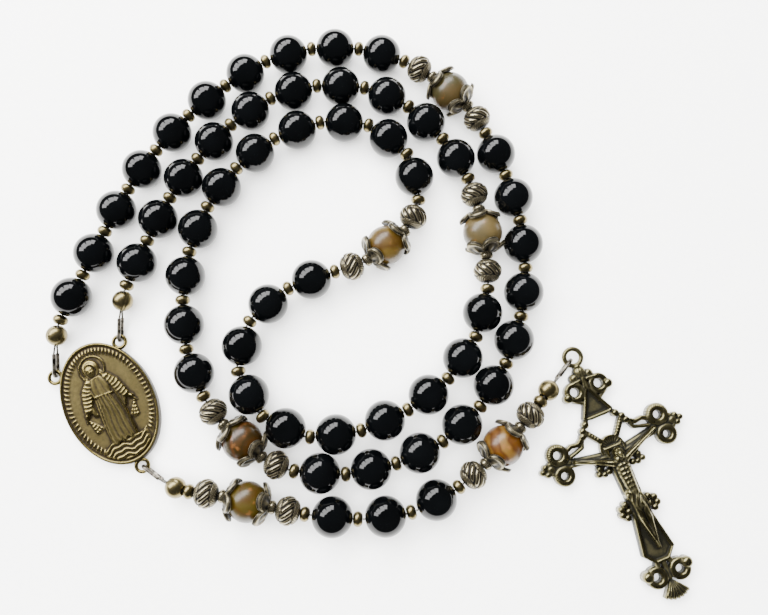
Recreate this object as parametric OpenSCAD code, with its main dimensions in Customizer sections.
// Rosary of five decades with a pendant strand and a crucifix, laid on a flat surface.
// The centre medal lies on the origin with its flat back down. The strand leaves its
// left upper eyelet, runs round in a spiral and comes back to its right upper eyelet.
// The pendant strand leaves its lower eyelet and ends at the crucifix.

/* [Beads] */
// Diameter of a black bead
bead_d = 8; // [6:0.1:10]
// Diameter of a jasper bead
jasper_d = 8; // [6:0.1:10]
// Diameter of the hole through a bead
bead_bore = 0.7; // [0.6:0.05:1]

/* [Ring spacers] */
// Outer diameter of a ring spacer
spacer_d = 3; // [2.4:0.1:4]
// Length of a ring spacer along the wire
spacer_len = 1.85; // [1.4:0.05:2.3]
// Diameter of the hole through a ring spacer
spacer_bore = 1.2; // [0.9:0.05:1.4]

/* [Fluted beads] */
// Outer diameter of a fluted bead
fluted_d = 5.8; // [4.8:0.1:7]
// Length of a fluted bead along the wire
fluted_len = 4.7; // [3.8:0.1:5.7]
// Diameter of the hole through a fluted bead
fluted_bore = 1; // [0.8:0.05:1.4]

/* [Bead caps] */
// Wall of a bead cap
cap_wall = 0.5; // [0.3:0.05:0.8]
// Gap between a jasper bead and the cap over it
cap_gap = 0.15; // [0.1:0.01:0.3]
// Distance from the middle of the bead to the rim of its cap
cap_rim = 2.6; // [2:0.1:3]
// Diameter of the round hub at the top of a cap
cap_hub_d = 2.7; // [2.2:0.1:3.4]
// Distance that a cap stands out past the end of its bead
cap_rise = 1.7; // [1.4:0.1:2.1]
// Diameter of the hole through a cap
cap_bore = 1; // [0.8:0.05:1.4]

/* [Stringing wire] */
// Diameter of the stringing wire
wire_d = 0.4; // [0.3:0.02:0.5]

/* [Crimps] */
// Outer diameter of the ball cover over a crimp
cover_d = 4.2; // [3.5:0.1:5.1]
// Wall of the ball cover
cover_wall = 0.35; // [0.25:0.05:0.5]
// Diameter of the mouth at each end of the ball cover
cover_mouth = 1.8; // [1.6:0.1:2.2]
// Outer diameter of the crimp tube
crimp_d = 1.9; // [1.6:0.1:2.3]
// Diameter of the hole through the crimp tube
crimp_bore = 1.2; // [1.1:0.05:1.4]
// Length of the crimp tube
crimp_len = 2; // [1.6:0.1:2.4]

/* [Wire guards] */
// Outer diameter of the bent tube of a wire guard
guard_d = 0.75; // [0.7:0.05:0.9]
// Diameter of the hole along the bent tube
guard_bore = 0.5; // [0.45:0.05:0.6]
// Clearance between a wire guard and the eyelet that it hooks
guard_play = 0.175; // [0.12:0.005:0.25]
// Length of the straight legs of a wire guard
guard_leg = 3.6; // [3:0.1:4.4]
// Length of bare wire from the legs to the crimp cover
guard_lead = 1.7; // [1.4:0.1:2.1]

/* [Strand] */
// Gap where a decade, a pendant bead or a pendant group hinges on its neighbour
hinge_gap = 0.3; // [0.25:0.05:0.5]
// Gap between the other pieces of the pendant strand
pendant_gap = 0.04; // [0.02:0.01:0.2]
// Average gap to find room for between the pieces of the loop
loop_play = 0.125; // [0.11:0.005:0.3]

/* [Centre medal] */
// Width of the medal's oval plate
medal_w = 18; // [15:0.1:21.6]
// Height of the medal's oval plate
medal_h = 26; // [22:0.1:31]
// Thickness of the medal's plate
medal_t = 1.8; // [1.5:0.1:2.4]
// Width of the medal's raised rim
medal_rim_w = 0.9; // [0.6:0.1:1.4]
// Height of the medal's rim and relief above its plate
medal_relief = 0.9; // [0.4:0.1:1.4]
// Outer diameter of a medal eyelet
eyelet_d = 3.2; // [3:0.1:4]
// Diameter of the round section of a medal eyelet
eyelet_wire = 0.75; // [0.6:0.05:0.8]
// Place of the upper eyelets round the medal, as an angle from its width
eyelet_angle = 46; // [40:1:55]
// Turn of the medal on the table
medal_turn = 30; // [25:1:35]

/* [Crucifix] */
// Distance from the crucifix ring to the tip of the foot
cross_foot = 50.3; // [44:0.1:60]
// Distance from the crucifix ring to the middle of the arms
cross_arm = 18.8; // [17:0.1:21]
// Width over the two arms
cross_span = 31.2; // [28:0.1:37]
// Thickness of the crucifix plate
cross_t = 2; // [1.6:0.1:2.4]
// Height of the figure above the plate
figure_h = 1.8; // [1.2:0.1:2.4]
// Outer diameter of the crucifix ring
ring_d = 4.4; // [4:0.1:5.3]
// Diameter of the round section of the crucifix ring
ring_wire = 0.95; // [0.8:0.05:1.1]
// Turn of the crucifix on the table
cross_turn = 22; // [15:1:40]

/* [Hidden] */
$fn = 64;

up = [0, 0, 1];
rest_gap = 0.05;
pivot_gap = 0.05;
wire_sides = 8;

// Derived sizes of the pieces
cover_len = 2 * sqrt(pow(cover_d / 2, 2) - pow(cover_mouth / 2, 2));
guard_reach = guard_leg + guard_lead;
eyelet_mid = (eyelet_d - eyelet_wire) / 2;
ring_mid = (ring_d - ring_wire) / 2;
medal_guard_r = (eyelet_wire + guard_d) / 2 + guard_play;
cross_guard_r = (ring_wire + guard_d) / 2 + guard_play;
eyelet_z = medal_guard_r + guard_d / 2 + rest_gap;
ring_z = cross_guard_r + guard_d / 2 + rest_gap;

// Small vector helpers
function unit(v) = v / norm(v);
function flat(v) = [v.x, v.y];
function heading(a) = [cos(a), sin(a)];
function angle_between(u, v) = atan2(norm(cross(u, v)), u * v);
function total(list, i = 0) = i == len(list) ? 0 : list[i] + total(list, i + 1);
function smooth_step(x) = let (t = min(max(x, 0), 1)) t * t * (3 - 2 * t);

// Medal eyelets: on the oval's edge, with the round section half sunk into the plate
function on_medal(p) = [
    p.x * cos(medal_turn) - p.y * sin(medal_turn),
    p.x * sin(medal_turn) + p.y * cos(medal_turn)
];
function medal_edge(a, out) =
    [medal_w / 2 * cos(a), medal_h / 2 * sin(a)]
    + out * unit([2 / medal_w * cos(a), 2 / medal_h * sin(a)]);
eyelet_places = [for (a = [180 - eyelet_angle, eyelet_angle, -90]) medal_edge(a, eyelet_mid)];
left_eyelet = on_medal(eyelet_places[0]);
right_eyelet = on_medal(eyelet_places[1]);
lower_eyelet = on_medal(eyelet_places[2]);

// Route of the loop on the table, from the left eyelet round to the right eyelet.
// It is laid out for beads of route_bead_d and for a medal in the middle of the spiral.
route_bead_d = 8;
left_lead = [0.3, 8.5];
right_lead = [0.6, 8.2];
lower_lead = [7, -4.3];
loop_points = [
    [-11, 13.5], [-8, 21], [-4, 30.5], [5, 48.5], [18, 63.5], [35.5, 74], [45.5, 75],
    [55.5, 73.5], [63.5, 69.5], [70.5, 65], [75, 58], [78.7, 50.5], [83.6, 31], [80.7, 11],
    [69.5, -5.5], [51, -13.5], [41, -14], [33, -12], [26, -7.5], [20.5, -1], [16.5, 6.5],
    [14.5, 16.5], [14.5, 26.5], [17, 36.5], [22, 45.5], [29.5, 53], [38.5, 57.5], [48.5, 58.5],
    [57.5, 54], [62, 45], [60.5, 36.5], [54.5, 30], [47, 27], [39, 24.5], [30.5, 19.5],
    [25.5, 10.5], [28, 0.5], [36, -6], [46, -6.5], [55.5, -3.5], [64, 1.5], [71, 9],
    [75, 18.5], [75.05, 35], [73.3, 43], [69.9, 50.4], [63.8, 58.2], [55.5, 64.5], [45.5, 66.5],
    [35.5, 65.5], [26.5, 61], [19, 54], [13, 46], [8, 37], [4.5, 28], [1.5, 20.5]
];
// Route of the pendant strand, from the lower eyelet to past the crucifix ring
pendant_points = [
    [14, -16.5], [21, -17.5], [29, -19], [37.5, -21], [45.5, -22], [56, -22],
    [66, -18.5], [72.6, -13.7], [79.2, -7.7], [84.4, -1.5], [88.8, 4], [93.4, 8.8]
];

// Pieces on the strand, by kind, with the length that each takes up on the wire
COVER = 0;
SPACER = 1;
BEAD = 2;
FLUTED = 3;
CAPPED = 4;
piece_len = [cover_len, spacer_len, bead_d, fluted_len, jasper_d + 2 * cap_rise];
beads_in_decade = 10;
decade_count = 5;
decade_kinds = [for (i = [0 : 2 * beads_in_decade]) i % 2 == 0 ? SPACER : BEAD];
station_kinds = [FLUTED, CAPPED, FLUTED];
loop_kinds = concat(
    [COVER],
    [for (n = [1 : decade_count]) each concat(decade_kinds, n < decade_count ? station_kinds : [COVER])]
);
pendant_kinds = [
    COVER, SPACER, FLUTED, CAPPED, FLUTED, SPACER, BEAD, SPACER, BEAD, SPACER,
    BEAD, SPACER, FLUTED, CAPPED, FLUTED, SPACER, COVER
];

// Places of the groups in the two lists of pieces
decade_step = len(decade_kinds) + len(station_kinds);
function decade_first(n) = 1 + (n - 1) * decade_step;
function decade_last(n) = decade_first(n) + len(decade_kinds) - 1;
function station_first(n) = decade_last(n) + 1;
loop_last = len(loop_kinds) - 1;
pendant_last = len(pendant_kinds) - 1;
upper_last = 5;
function pendant_bead_index(n) = upper_last + 2 * n - 1;
lower_first = pendant_bead_index(4);
loop_hinges = [for (n = [1 : decade_count]) each [decade_first(n), station_first(n)]];
pendant_hinges = [for (n = [1 : 4]) pendant_bead_index(n)];

// A smooth curve through points: each span is a cubic that leaves along the
// direction found from the spans on both sides, weighted by their lengths
span_steps = 12;
function tangent(p, i) =
    i == 0 ? unit(p[1] - p[0]) :
    i == len(p) - 1 ? unit(p[i] - p[i - 1]) :
    let (before = norm(p[i] - p[i - 1]), after = norm(p[i + 1] - p[i]))
    ((p[i] - p[i - 1]) / before * after + (p[i + 1] - p[i]) / after * before) / (before + after);
function on_span(p, i, t) =
    let (h = norm(p[i + 1] - p[i]))
    (2 * t * t * t - 3 * t * t + 1) * p[i] + (t * t * t - 2 * t * t + t) * h * tangent(p, i)
    + (3 * t * t - 2 * t * t * t) * p[i + 1] + (t * t * t - t * t) * h * tangent(p, i + 1);
function curve(p) = concat(
    [for (i = [0 : len(p) - 2]) for (k = [0 : span_steps - 1]) on_span(p, i, k / span_steps)],
    [p[len(p) - 1]]
);
function curve_length(p) = total([for (i = [1 : len(p) - 1]) norm(p[i] - p[i - 1])]);

// The route grows with the pieces that it carries and with the room between its turns
pieces_len = total([for (k = loop_kinds) piece_len[k]]);
loop_need = pieces_len + 2 * guard_reach + len(loop_hinges) * hinge_gap + len(loop_kinds) * loop_play;
loop_have = curve_length(curve(concat([left_eyelet + [0, eyelet_mid]], loop_points,
                                      [right_eyelet + [0, eyelet_mid]])));
route_scale = max(loop_need / loop_have, max(bead_d, jasper_d) / route_bead_d);
function fitted(p, first, last) = [
    for (i = [0 : len(p) - 1])
        let (s = i / (len(p) - 1))
        route_scale * p[i] + (1 - s) * (first - route_scale * p[0])
        + s * (last - route_scale * p[len(p) - 1])
];
loop_route = fitted(loop_points, left_eyelet + left_lead, right_eyelet + right_lead);
pendant_start = lower_eyelet + lower_lead;
pendant_route = fitted(pendant_points, pendant_start,
                       pendant_start + route_scale * (pendant_points[len(pendant_points) - 1]
                                                      - pendant_points[0]));

// The strand starts at the height of the eyelets and lies on its beads from the first bead on
rise_len = guard_reach + cover_len + spacer_len + hinge_gap;
lie_z = bead_d / 2;
function hook_point(eyelet, toward, mid) = eyelet + mid * unit(toward - eyelet);
left_hook = hook_point(left_eyelet, loop_route[0], eyelet_mid);
right_hook = hook_point(right_eyelet, loop_route[len(loop_route) - 1], eyelet_mid);
lower_hook = hook_point(lower_eyelet, pendant_route[0], eyelet_mid);
loop_curve = [
    for (p = curve(concat([left_hook], loop_route, [right_hook])))
        [p.x, p.y, eyelet_z + (lie_z - eyelet_z) * smooth_step(norm(p - left_hook) / rise_len)
                              * smooth_step(norm(p - right_hook) / rise_len)]
];
pendant_len = total([for (k = pendant_kinds) piece_len[k]]) + 2 * guard_reach
              + len(pendant_hinges) * hinge_gap + len(pendant_kinds) * 3 * pendant_gap;
pendant_flat = curve(concat([lower_hook], pendant_route));
pendant_run = [
    for (i = 0, s = 0; i < len(pendant_flat);
         s = s + (i + 1 < len(pendant_flat) ? norm(pendant_flat[i + 1] - pendant_flat[i]) : 0),
         i = i + 1) s
];
pendant_curve = [
    for (i = [0 : len(pendant_flat) - 1])
        let (s = pendant_run[i], low = s < pendant_len / 2 ? eyelet_z : ring_z)
        [pendant_flat[i].x, pendant_flat[i].y,
         low + (lie_z - low) * smooth_step(s / rise_len) * smooth_step((pendant_len - s) / rise_len)]
];

// advance: the first point of a route, from its place k on, at a distance from a centre.
// It gives [place, point], and carries on straight past the route's end.
function reach_line(a, b, centre, distance) =
    let (u = b - a, w = a - centre, uu = u * u, uw = u * w)
    a + u * (-uw + sqrt(max(uw * uw - uu * (w * w - distance * distance), 0))) / uu;
function advance(route, k, centre, distance) =
    k < len(route) - 1 && norm(route[k] - centre) < distance
    ? advance(route, k + 1, centre, distance)
    : [k, reach_line(route[k - 1], route[k], centre, distance)];

// A placed piece is [kind, vertex, start, end, direction, place on the route]. The wire
// turns only at the vertices, so the bores lie on it. The gap before a piece grows with
// the turn, so that the rounded end faces clear each other.
VERTEX = 1;
START = 2;
END = 3;
DIR = 4;
PLACE = 5;
turn_r = 0.6;
function next_piece(route, kind, gap, last) =
    let (
        c = last[END],
        straight = advance(route, last[PLACE], c, piece_len[kind] + gap),
        room = gap + turn_r * tan(angle_between(last[DIR], straight[1] - c)),
        found = advance(route, last[PLACE], c, piece_len[kind] + room),
        direction = unit(found[1] - c)
    )
    [kind, c, c + room * direction, found[1], direction, found[0]];
function placed(route, kinds, gap, hinges) =
    let (mouth = advance(route, 1, route[0], guard_reach))
    [
        for (i = 0, last = next_piece(route, kinds[0], gap,
                                      [COVER, route[0], route[0], mouth[1],
                                       unit(mouth[1] - route[0]), mouth[0]]);
             i < len(kinds);
             i = i + 1,
             last = i < len(kinds)
                    ? next_piece(route, kinds[i], gap + (len(search(i, hinges)) > 0 ? hinge_gap : 0), last)
                    : last)
            last
    ];

// The even gap of the loop is the one that brings its last cover to the right eyelet
gap_steps = 20;
gap_limit = 1;
end_window = 2 * span_steps;
loop_end = loop_curve[len(loop_curve) - 1];
loop_end_dir = unit(loop_end - loop_curve[len(loop_curve) - 6]);
function too_long(gap) =
    let (strand = placed(loop_curve, loop_kinds, gap, loop_hinges), last = strand[loop_last])
    last[PLACE] > len(loop_curve) - end_window && (loop_end - last[END]) * loop_end_dir < guard_reach;
function even_gap(low, high, steps) =
    let (middle = (low + high) / 2)
    steps == 0 ? low :
    too_long(middle) ? even_gap(low, middle, steps - 1) : even_gap(middle, high, steps - 1);
loop_gap = even_gap(0, gap_limit, gap_steps);
loop = placed(loop_curve, loop_kinds, loop_gap, loop_hinges);
pendant = placed(pendant_curve, pendant_kinds, pendant_gap, pendant_hinges);

// The ends of the strand at the eyelets, and the crucifix ring past the last guard
pendant_end = pendant[pendant_last];
pendant_end_dir = unit(flat(pendant_end[DIR]));
left_end = concat(left_hook, eyelet_z);
right_end = concat(right_hook, eyelet_z);
lower_end = concat(lower_hook, eyelet_z);
cross_drop = pendant_end[END].z - ring_z;
cross_end = concat(flat(pendant_end[END])
                   + sqrt(guard_reach * guard_reach - cross_drop * cross_drop) * pendant_end_dir, ring_z);
ring_centre = flat(cross_end) + ring_mid * pendant_end_dir;

// ---- Shapes of the pieces, each along +Z from 0 to its length ----

module on_strand(piece) {
    translate(piece[START])
        rotate([0, acos(piece[DIR].z), atan2(piece[DIR].y, piece[DIR].x)])
            children();
}

// Half section of a ring with a round outside: d across, length long
module ring_section(d, length, bore) {
    intersection() {
        translate([(d - length) / 2, length / 2])
            circle(d = length);
        translate([bore / 2, 0])
            square([d, length]);
    }
}

module round_bead(d) {
    translate([0, 0, d / 2])
        difference() {
            sphere(d = d);
            cylinder(d = bead_bore, h = 2 * d, center = true);
        }
}

module ring_bead(d, length, bore) {
    rotate_extrude()
        ring_section(d, length, bore);
}

// A cap over one end of a jasper bead, with the bead's middle at the origin
module cap() {
    inner = jasper_d / 2 + cap_gap;
    rotate_extrude() {
        intersection() {
            difference() {
                circle(r = inner + cap_wall);
                circle(r = inner);
            }
            translate([cap_bore / 2, cap_rim])
                square([jasper_d, jasper_d]);
        }
        translate([0, inner])
            ring_section(cap_hub_d, cap_rise - cap_gap, cap_bore);
    }
}

module cap_pair() {
    translate([0, 0, jasper_d / 2 + cap_rise])
        for (side = [0, 1])
            mirror([0, 0, side])
                cap();
}

module capped_jasper() {
    translate([0, 0, cap_rise])
        round_bead(jasper_d);
}

module crimp_cover() {
    translate([0, 0, cover_len / 2])
        difference() {
            sphere(d = cover_d);
            sphere(d = cover_d - 2 * cover_wall);
            cylinder(d = cover_mouth, h = 2 * cover_d, center = true);
        }
}

module crimp_tube() {
    translate([0, 0, cover_len / 2])
        difference() {
            cylinder(d = crimp_d, h = crimp_len, center = true);
            cylinder(d = crimp_bore, h = 2 * crimp_len, center = true);
        }
}

// A U of round bar: bend about the origin in the XZ plane, legs towards +X
module bent_bar(bend_r, d, leg) {
    rotate([90, 0, 0]) {
        rotate([0, 0, 90])
            rotate_extrude(angle = 180)
                translate([bend_r, 0])
                    circle(d = d);
        for (side = [-1, 1])
            translate([0, side * bend_r, 0])
                rotate([0, 90, 0])
                    cylinder(d = d, h = leg);
    }
}

// A wire guard hooked at a point, with its legs pointing to the crimp cover's mouth
module wire_guard(hook, mouth, bend_r) {
    to = mouth - hook;
    translate(hook)
        rotate([0, -asin(to.z / norm(to)), atan2(to.y, to.x)])
            difference() {
                bent_bar(bend_r, guard_d, guard_leg);
                bent_bar(bend_r, guard_bore, guard_leg + guard_lead);
            }
}

// ---- Stringing wire ----

// Points of the wire from the crimp, round through the guard and back into the crimp.
// The two strands lie one above the other where they pass through the crimp tube.
bend_steps = 12;
function guard_wire(hook, mouth, crimp_middle, along, bend_r) =
    let (
        to = unit(mouth - hook),
        side = unit(cross(up, to)),
        over = cross(to, side),
        crimp_over = unit(over - (over * along) * along),
        lift = 0.6 * wire_d,
        half = crimp_len / 2
    )
    concat(
        [crimp_middle - half * along + lift * crimp_over, crimp_middle + half * along + lift * crimp_over],
        [hook + guard_leg * to + bend_r * over],
        [for (i = [0 : bend_steps])
            let (a = 90 - 180 * i / bend_steps)
            hook - bend_r * cos(a) * to + bend_r * sin(a) * over],
        [hook + guard_leg * to - bend_r * over],
        [crimp_middle + half * along - lift * crimp_over, crimp_middle - half * along - lift * crimp_over]
    );

// Side directions carried along the wire without twisting
function carried(tangents, i, side) =
    i == len(tangents) ? [] :
    let (s = unit(side - (side * tangents[i]) * tangents[i]))
    concat([s], carried(tangents, i + 1, s));

module wire_tube(path) {
    n = len(path);
    tangents = [
        for (i = [0 : n - 1])
            unit(unit(path[min(i + 1, n - 1)] - path[min(i, n - 2)])
                 + unit(path[max(i, 1)] - path[max(i - 1, 0)]))
    ];
    sides = carried(tangents, 0, cross(tangents[0], up));
    points = [
        for (i = [0 : n - 1])
            for (j = [0 : wire_sides - 1])
                let (a = 360 * j / wire_sides)
                path[i] + wire_d / 2 * (cos(a) * sides[i] + sin(a) * cross(tangents[i], sides[i]))
    ];
    skin = [
        for (i = [0 : n - 2])
            for (j = [0 : wire_sides - 1])
                let (a = i * wire_sides, b = a + wire_sides, k = (j + 1) % wire_sides)
                [a + j, b + j, b + k, a + k]
    ];
    first_face = [for (j = [0 : wire_sides - 1]) j];
    last_face = [for (j = [wire_sides - 1 : -1 : 0]) (n - 1) * wire_sides + j];
    polyhedron(points, concat([first_face], skin, [last_face]));
}

// Vertices of the wire through pieces first to last, cut short by pivot_gap at a hinge
function wire_path(strand, first, last) =
    concat([strand[first][VERTEX]], [for (i = [first : last]) strand[i][END]]);
function cut_start(path) = [
    for (i = [0 : len(path) - 1]) i == 0 ? path[0] + pivot_gap * unit(path[1] - path[0]) : path[i]
];
function turned_round(path) = [for (i = [len(path) - 1 : -1 : 0]) path[i]];
function cut_both(path) = turned_round(cut_start(turned_round(cut_start(path))));

function cover_middle(piece) = (piece[START] + piece[END]) / 2;

// ---- Loop of decades ----

module centre_medal() {
    color("#8a7d5e")
        rotate([0, 0, medal_turn]) {
            scale([medal_w, medal_h, 1])
                cylinder(d = 1, h = medal_t);
            medal_rim();
            medal_boss();
            for (p = eyelet_places)
                translate([p.x, p.y, eyelet_z])
                    rotate_extrude()
                        translate([eyelet_mid, 0])
                            circle(d = eyelet_wire);
        }
}

module medal_rim() {
    difference() {
        scale([medal_w, medal_h, 1])
            cylinder(d = 1, h = medal_t + medal_relief / 2);
        translate([0, 0, medal_t])
            scale([medal_w - 2 * medal_rim_w, medal_h - 2 * medal_rim_w, 1])
                cylinder(d = 1, h = medal_relief);
    }
}

// The raised panel that stands in for the standing figure
module medal_boss() {
    panel_w = 0.42 * medal_w;
    panel_h = 0.78 * medal_h;
    scale([panel_w, panel_h, 1])
        cylinder(d = 1, h = medal_t + medal_relief);
}

module loop_jasper(n) {
    color(["#9a8f7c", "#b9763d", "#d39a5f", "#8f8474"][n - 1])
        on_strand(loop[station_first(n) + 1])
            capped_jasper();
}

module loop_caps(n) {
    color("#6d6452")
        on_strand(loop[station_first(n) + 1])
            cap_pair();
}

module loop_fluted(n) {
    color("#6d6452")
        for (i = [0, 2])
            on_strand(loop[station_first(n) + i])
                ring_bead(fluted_d, fluted_len, fluted_bore);
}

module loop_station_wires() {
    color("silver") {
        for (n = [1 : decade_count - 1])
            wire_tube(cut_both(wire_path(loop, station_first(n), station_first(n) + 2)));
        wire_tube(concat(
            [loop[0][END] - pivot_gap * loop[0][DIR]],
            guard_wire(left_end, loop[0][VERTEX], cover_middle(loop[0]), -loop[0][DIR], medal_guard_r)));
        wire_tube(concat(
            [loop[loop_last][VERTEX] + pivot_gap * loop[loop_last][DIR]],
            guard_wire(right_end, loop[loop_last][END], cover_middle(loop[loop_last]),
                       loop[loop_last][DIR], medal_guard_r)));
    }
}

module loop_crimp_covers() {
    color("#a08a55")
        for (i = [0, loop_last])
            on_strand(loop[i])
                crimp_cover();
}

module loop_crimp_tubes() {
    color("#c9b27a")
        for (i = [0, loop_last])
            on_strand(loop[i])
                crimp_tube();
}

module loop_wire_guards() {
    color("#4d4a45") {
        wire_guard(left_end, loop[0][VERTEX], medal_guard_r);
        wire_guard(right_end, loop[loop_last][END], medal_guard_r);
    }
}

module decade_beads(n) {
    color("#16161a")
        for (i = [decade_first(n) : decade_last(n)])
            if (loop_kinds[i] == BEAD)
                on_strand(loop[i])
                    round_bead(bead_d);
}

module decade_spacers(n) {
    color("#a08a55")
        for (i = [decade_first(n) : decade_last(n)])
            if (loop_kinds[i] == SPACER)
                on_strand(loop[i])
                    ring_bead(spacer_d, spacer_len, spacer_bore);
}

module decade_wire(n) {
    color("silver")
        wire_tube(cut_both(wire_path(loop, decade_first(n), decade_last(n))));
}

// ---- Pendant strand ----

module pendant_pieces(first, last, kind) {
    for (i = [first : last])
        if (pendant_kinds[i] == kind)
            on_strand(pendant[i])
                children();
}

module pendant_upper_guard() {
    color("#4d4a45")
        wire_guard(lower_end, pendant[0][VERTEX], medal_guard_r);
}

module pendant_upper_cover() {
    color("#a08a55")
        on_strand(pendant[0])
            crimp_cover();
}

module pendant_upper_crimp() {
    color("#c9b27a")
        on_strand(pendant[0])
            crimp_tube();
}

module pendant_upper_wire() {
    color("silver")
        wire_tube(concat(
            cut_start(turned_round(wire_path(pendant, 1, upper_last))),
            guard_wire(lower_end, pendant[0][VERTEX], cover_middle(pendant[0]), -pendant[0][DIR],
                       medal_guard_r)));
}

module pendant_upper_spacers() {
    color("#a08a55")
        pendant_pieces(0, upper_last, SPACER)
            ring_bead(spacer_d, spacer_len, spacer_bore);
}

module pendant_upper_fluted() {
    color("#6d6452")
        pendant_pieces(0, upper_last, FLUTED)
            ring_bead(fluted_d, fluted_len, fluted_bore);
}

module pendant_upper_caps() {
    color("#6d6452")
        pendant_pieces(0, upper_last, CAPPED)
            cap_pair();
}

module pendant_upper_jasper() {
    color("#d9b98a")
        pendant_pieces(0, upper_last, CAPPED)
            capped_jasper();
}

module pendant_bead(n) {
    color("#16161a")
        on_strand(pendant[pendant_bead_index(n)])
            round_bead(bead_d);
}

module pendant_spacer(n) {
    color("#a08a55")
        on_strand(pendant[pendant_bead_index(n) + 1])
            ring_bead(spacer_d, spacer_len, spacer_bore);
}

module pendant_bead_wire(n) {
    i = pendant_bead_index(n);
    color("silver")
        wire_tube(cut_both(wire_path(pendant, i, i + 1)));
}

module pendant_lower_fluted() {
    color("#6d6452")
        pendant_pieces(lower_first, pendant_last, FLUTED)
            ring_bead(fluted_d, fluted_len, fluted_bore);
}

module pendant_lower_caps() {
    color("#6d6452")
        pendant_pieces(lower_first, pendant_last, CAPPED)
            cap_pair();
}

module pendant_lower_jasper() {
    color("#cf8a4a")
        pendant_pieces(lower_first, pendant_last, CAPPED)
            capped_jasper();
}

module pendant_lower_spacer() {
    color("#a08a55")
        pendant_pieces(lower_first, pendant_last, SPACER)
            ring_bead(spacer_d, spacer_len, spacer_bore);
}

module pendant_lower_wire() {
    color("silver")
        wire_tube(concat(
            cut_start(wire_path(pendant, lower_first, pendant_last - 1)),
            guard_wire(cross_end, pendant_end[END], cover_middle(pendant_end), pendant_end[DIR],
                       cross_guard_r)));
}

module pendant_lower_cover() {
    color("#a08a55")
        on_strand(pendant_end)
            crimp_cover();
}

module pendant_lower_crimp() {
    color("#c9b27a")
        on_strand(pendant_end)
            crimp_tube();
}

module pendant_lower_guard() {
    color("#4d4a45")
        wire_guard(cross_end, pendant_end[END], cross_guard_r);
}

// ---- Crucifix, with its ring at the local origin and its foot towards -Y ----

ball_r = 0.75;
halo_r = 2.5;
bar_half = 0.55;
arm_half = 0.8;
loop_out = 1.95;
loop_in = 0.95;
bell_top = 6.1;
bell_bottom = 12.9;
bell_half = 3.3;
cluster_x = 4.2;
upper_cluster_y = -bell_bottom - 1.4;
lower_cluster_y = -cross_arm - 4.2;
arm_loop_x = cross_span / 2 - 4.4;
arm_loop_rise = 2;
neck_half = 1.85;
blade_half = 3.4;
blade_bottom = cross_foot - 7.2;
blade_widest = blade_bottom - 2.4;
waist_y = (cross_arm + blade_bottom) / 2 - 0.2;

module mirrored() {
    for (side = [0, 1])
        mirror([side, 0, 0])
            children();
}

module open_loop(x, y) {
    translate([x, y])
        difference() {
            circle(r = loop_out);
            circle(r = loop_in);
        }
}

module ball(x, y, r = ball_r) {
    translate([x, y])
        circle(r = r);
}

module bar(from, to, half) {
    along = to - from;
    translate(from)
        rotate(atan2(along.y, along.x))
            translate([-half, -half])
                square([norm(along) + 2 * half, 2 * half]);
}

// The crown under the ring, with two open loops and a bell below it
module cross_head() {
    crown_y = ring_d / 2 + 1.4;
    loop_y = -bell_top - 0.5;
    ball(0, -crown_y, 1.5);
    bar([0, -crown_y], [0, -bell_top - 1], bar_half);
    mirrored() {
        ball(1.5, -crown_y - 0.5, 1.1);
        open_loop(2.4, loop_y);
    }
    polygon([[-0.6, -bell_top], [-bell_half, -bell_bottom + 0.8], [0, -bell_bottom],
             [bell_half, -bell_bottom + 0.8], [0.6, -bell_top]]);
}

// The halo behind the head, held by open bars between balls
module cross_middle() {
    ball(0, -cross_arm - 0.4, halo_r);
    mirrored() {
        ball(cluster_x, upper_cluster_y);
        ball(cluster_x - 1, upper_cluster_y + 1);
        bar([bell_half - 0.5, -bell_bottom + 0.8], [cluster_x, upper_cluster_y], bar_half);
        bar([cluster_x, upper_cluster_y], [1.3, -cross_arm + 1.2], bar_half);
        bar([cluster_x, upper_cluster_y], [arm_loop_x - 1.4, -cross_arm + arm_loop_rise], bar_half);
        bar([0, -cross_arm - 1], [cluster_x, lower_cluster_y], bar_half);
        ball(cluster_x, lower_cluster_y);
        ball(cluster_x - 1.1, lower_cluster_y + 0.2);
    }
}

module cross_arms() {
    tip_r = 0.8;
    mirrored() {
        bar([0, -cross_arm], [cross_span / 2 - tip_r - 0.8, -cross_arm], arm_half);
        ball(cross_span / 2 - tip_r, -cross_arm, tip_r);
        for (side = [-1, 1]) {
            ball(cross_span / 2 - 2 * tip_r, -cross_arm + side * tip_r, tip_r);
            open_loop(arm_loop_x, -cross_arm + side * arm_loop_rise);
        }
    }
}

// The shaft widens to a blade, and two open loops and a shell end it
module cross_shaft() {
    foot_half = 2.3;
    foot_loop_y = -blade_bottom - 1.9;
    polygon([[-neck_half, -cross_arm], [-neck_half, -waist_y], [-blade_half, -blade_widest],
             [-neck_half, -blade_bottom], [neck_half, -blade_bottom], [blade_half, -blade_widest],
             [neck_half, -waist_y], [neck_half, -cross_arm]]);
    polygon([[-0.6, -blade_bottom + 1], [-0.6, foot_loop_y - 0.6], [-foot_half, -cross_foot + 2.3],
             [-0.7 * foot_half, -cross_foot + 0.6], [0, -cross_foot], [0.7 * foot_half, -cross_foot + 0.6],
             [foot_half, -cross_foot + 2.3], [0.6, foot_loop_y - 0.6], [0.6, -blade_bottom + 1]]);
    mirrored() {
        ball(neck_half + 0.6, -waist_y + 0.9);
        ball(neck_half + 1.5, -waist_y);
        ball(neck_half + 0.9, -waist_y - 1.1);
        open_loop(2.4, foot_loop_y);
        ball(4.2, foot_loop_y, 0.9);
    }
}

// A tapering limb of the figure between two points that lie on the plate
module limb(from, to, from_r, to_r) {
    hull() {
        translate([from.x, from.y, cross_t + from.z])
            sphere(r = from_r, $fn = 24);
        translate([to.x, to.y, cross_t + to.z])
            sphere(r = to_r, $fn = 24);
    }
}

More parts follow.
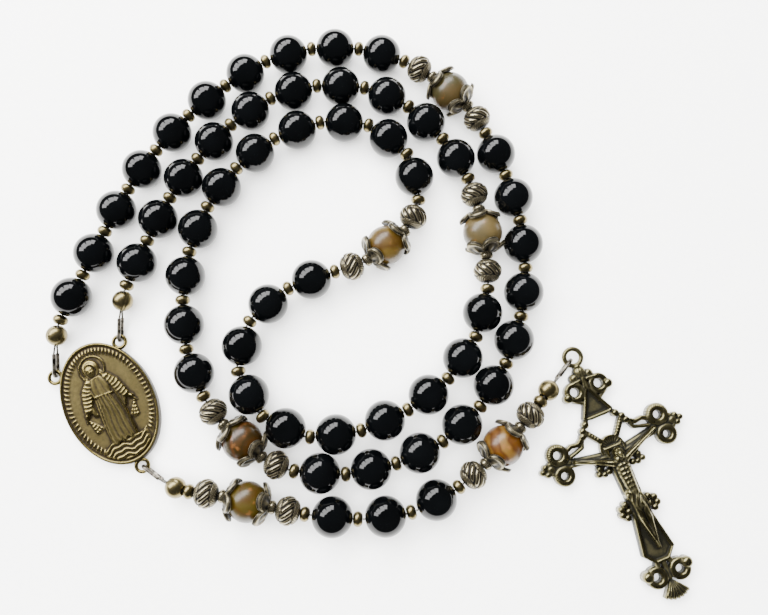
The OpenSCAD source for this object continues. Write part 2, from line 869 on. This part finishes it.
module figure() {
    neck_y = -cross_arm - 3.6;
    hip_y = neck_y - 6.5;
    foot_y = -blade_bottom + 3.8;
    hand_x = cross_span / 2 - 7.2;
    top = figure_h - 1.3;
    limb([0, neck_y, top], [0, hip_y, top], 1.3, 1.3);
    limb([0, hip_y, top], [0, foot_y, 0], 1.3, 0.8);
    translate([0, neck_y + 2, cross_t + top])
        sphere(r = 1.3);
    for (side = [-1, 1])
        limb([side * 1.2, neck_y, top], [side * hand_x, -cross_arm - 0.4, 0], 0.7, 0.6);
}

module crucifix() {
    color("#5a5340")
        translate(ring_centre)
            rotate([0, 0, cross_turn]) {
                linear_extrude(cross_t) {
                    cross_head();
                    cross_middle();
                    cross_arms();
                    cross_shaft();
                }
                figure();
                translate([0, 0, ring_z])
                    rotate_extrude()
                        translate([ring_mid, 0])
                            circle(d = ring_wire);
            }
}

centre_medal();
loop_station_wires();
loop_crimp_covers();
loop_crimp_tubes();
loop_wire_guards();
loop_jasper(1);  // loop_jasper_1
loop_caps(1);  // loop_caps_1
loop_fluted(1);  // loop_fluted_1
loop_jasper(2);  // loop_jasper_2
loop_caps(2);  // loop_caps_2
loop_fluted(2);  // loop_fluted_2
loop_jasper(3);  // loop_jasper_3
loop_caps(3);  // loop_caps_3
loop_fluted(3);  // loop_fluted_3
loop_jasper(4);  // loop_jasper_4
loop_caps(4);  // loop_caps_4
loop_fluted(4);  // loop_fluted_4
decade_beads(1);  // decade_1_beads
decade_spacers(1);  // decade_1_spacers
decade_wire(1);  // decade_1_wire
decade_beads(2);  // decade_2_beads
decade_spacers(2);  // decade_2_spacers
decade_wire(2);  // decade_2_wire
decade_beads(3);  // decade_3_beads
decade_spacers(3);  // decade_3_spacers
decade_wire(3);  // decade_3_wire
decade_beads(4);  // decade_4_beads
decade_spacers(4);  // decade_4_spacers
decade_wire(4);  // decade_4_wire
decade_beads(5);  // decade_5_beads
decade_spacers(5);  // decade_5_spacers
decade_wire(5);  // decade_5_wire
pendant_upper_guard();
pendant_upper_cover();
pendant_upper_crimp();
pendant_upper_wire();
pendant_upper_spacers();
pendant_upper_fluted();
pendant_upper_caps();
pendant_upper_jasper();
pendant_bead(1);  // pendant_bead_1
pendant_spacer(1);  // pendant_spacer_1
pendant_bead_wire(1);  // pendant_bead_wire_1
pendant_bead(2);  // pendant_bead_2
pendant_spacer(2);  // pendant_spacer_2
pendant_bead_wire(2);  // pendant_bead_wire_2
pendant_bead(3);  // pendant_bead_3
pendant_spacer(3);  // pendant_spacer_3
pendant_bead_wire(3);  // pendant_bead_wire_3
pendant_lower_fluted();
pendant_lower_caps();
pendant_lower_jasper();
pendant_lower_spacer();
pendant_lower_wire();
pendant_lower_cover();
pendant_lower_crimp();
pendant_lower_guard();
crucifix();
